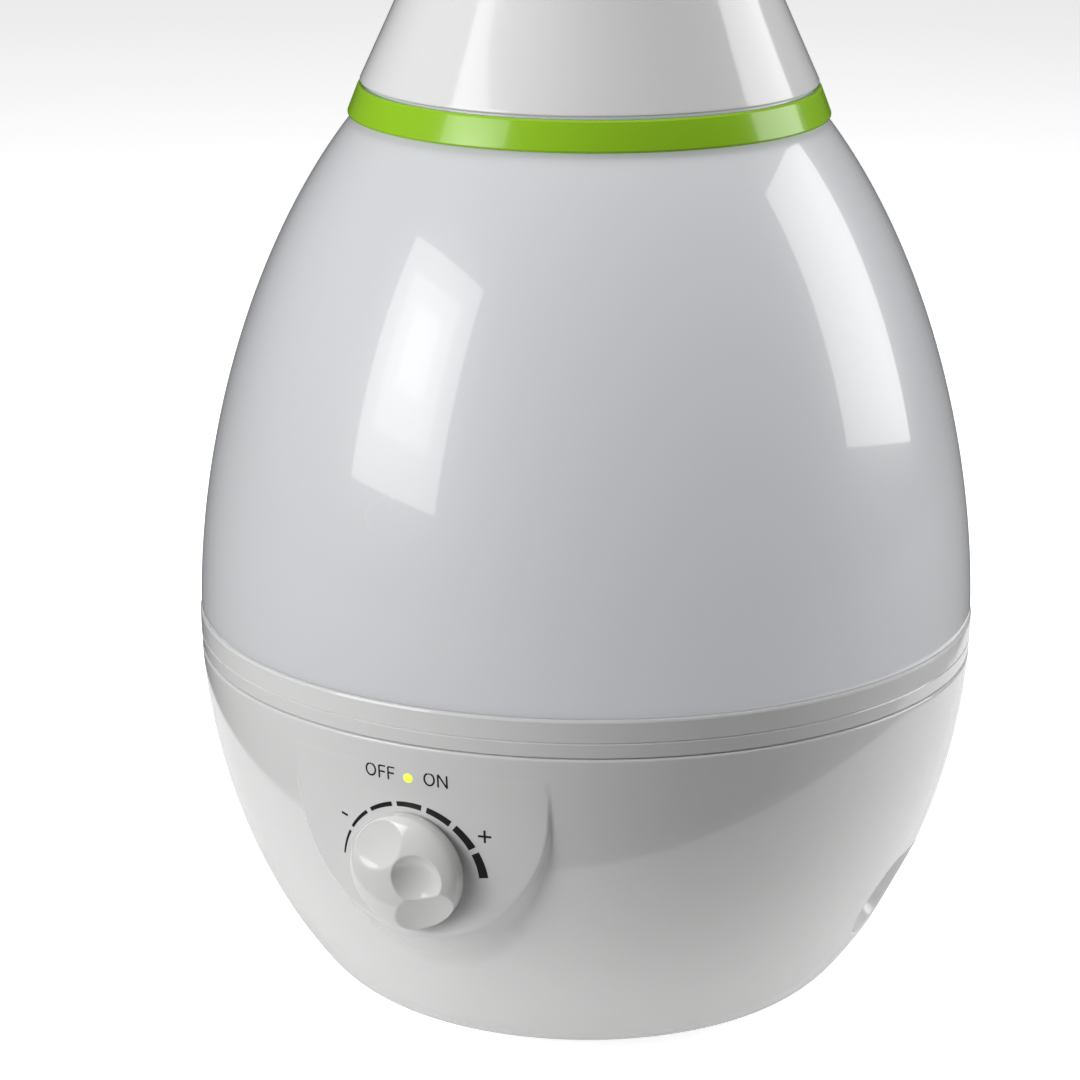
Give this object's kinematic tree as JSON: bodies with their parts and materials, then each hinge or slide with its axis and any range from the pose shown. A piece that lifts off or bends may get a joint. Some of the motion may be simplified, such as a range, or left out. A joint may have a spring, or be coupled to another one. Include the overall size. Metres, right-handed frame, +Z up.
{
  "type": "cool mist humidifier",
  "caption": "Egg-shaped ultrasonic cool mist humidifier: a lift-off frosted water tank under a cap with a turning nozzle, on a round base with a dial, float, fan and mist maker.",
  "frame": {"origin": "on the floor, at the centre of the foot ring, under the axis of the tank and base", "axes": "+Z up along the axis of the tank; the dial and the indicator face -Y; +X is to the right seen from the dial side"},
  "size_m": [0.222, 0.2287, 0.342],
  "materials": {
    "cap_white": "polished moulded plastic",
    "base_white": "polished moulded plastic",
    "knob_white": "polished moulded plastic",
    "inner_white": "plain moulded plastic",
    "tank_frosted": "frosted inside, glossy outside, milky",
    "accent_green": "lime green moulded plastic",
    "seal_grey": "silicone rubber",
    "foot_rubber": "soft rubber",
    "steel": "plated steel",
    "float_blue": "moulded foam plastic",
    "ferrite": "dark ferrite",
    "reed_glass": "glass tube",
    "transducer_brass": "plated brass",
    "board_green": "circuit board",
    "capacitor_blue": "sleeved can",
    "heat_sink_aluminium": "extruded",
    "case_black": "moulded plastic",
    "core_iron": "laminated steel",
    "winding_copper": "enamelled copper",
    "lens_green": "clear tinted light pipe",
    "wire_red": "insulated wire"
  },
  "bodies": {
    "base": {"basin": "base_white", "float_retainer": "inner_white", "reed_switch": "reed_glass", "base_shell": "base_white", "bottom_cover": "base_white", "foot_ring": "foot_rubber", "housing_screws": "steel", "transducer_disc": "transducer_brass", "transducer_seal": "seal_grey", "transducer_holder": "steel", "transducer_screws": "steel", "driver_board": "board_green", "board_screws": "steel", "capacitors": "capacitor_blue", "heat_sink": "heat_sink_aluminium", "power_transistor": "case_black", "transformer_core": "core_iron", "transformer_winding": "winding_copper", "transformer_screws": "steel", "potentiometer_body": "steel", "pot_nut": "steel", "led_lens": "lens_green", "led_lamp": "lens_green", "fan_housing": "case_black", "fan_motor": "winding_copper", "fan_screws": "steel", "air_duct": "inner_white", "cord_gland": "foot_rubber", "wire_harness": "wire_red"},
    "tank": {"tank_shell": "tank_frosted", "tank_floor": "tank_frosted", "mist_pipe": "tank_frosted", "pipe_seal": "seal_grey", "accent_ring": "accent_green"},
    "lid": {"top_cap": "cap_white", "mist_guide": "inner_white"},
    "nozzle": {"nozzle": "cap_white"},
    "filler_cap": {"filler_cap": "inner_white", "filler_gasket": "seal_grey", "valve_spring": "steel"},
    "valve": {"valve_stem": "inner_white", "valve_seal": "seal_grey"},
    "float": {"float_ring": "float_blue", "float_magnet": "ferrite"},
    "fan": {"fan_impeller": "case_black", "fan_shaft": "steel"},
    "knob": {"knob": "knob_white", "pot_shaft": "steel"}
  },
  "joints": [
    {"name": "tank_lift", "type": "slide", "parent": "base", "child": "tank", "axis": [0, 0, 1], "range_m": [0, 0.16]},
    {"name": "lid_lift", "type": "slide", "parent": "tank", "child": "lid", "axis": [0, 0, 1], "range_m": [0, 0.12]},
    {"name": "nozzle_spin", "type": "hinge", "parent": "lid", "child": "nozzle", "pos_m": [0, 0, 0.327], "axis": [0, 0, 1], "continuous": true},
    {"name": "filler_cap_turn", "type": "hinge", "parent": "tank", "child": "filler_cap", "pos_m": [0, 0.072, 0.1], "axis": [0, 0, 1], "range_deg": [0, 540]},
    {"name": "valve_lift", "type": "slide", "parent": "filler_cap", "child": "valve", "axis": [0, 0, 1], "range_m": [-0.0038, 0], "deforming": ["valve_spring"]},
    {"name": "float_lift", "type": "slide", "parent": "base", "child": "float", "axis": [0, 0, 1], "range_m": [0, 0.007]},
    {"name": "fan_spin", "type": "hinge", "parent": "base", "child": "fan", "pos_m": [0, 0.0295, 0.022], "axis": [0, 0, 1], "continuous": true},
    {"name": "knob_turn", "type": "hinge", "parent": "base", "child": "knob", "pos_m": [0, -0.10815, 0.0668], "axis": [0, 0.9976, 0.0698], "range_deg": [0, 270]}
  ],
  "couplings": [
    {"joint": "valve_lift", "follows": "tank_lift", "ratio": -0.02375}
  ]
}
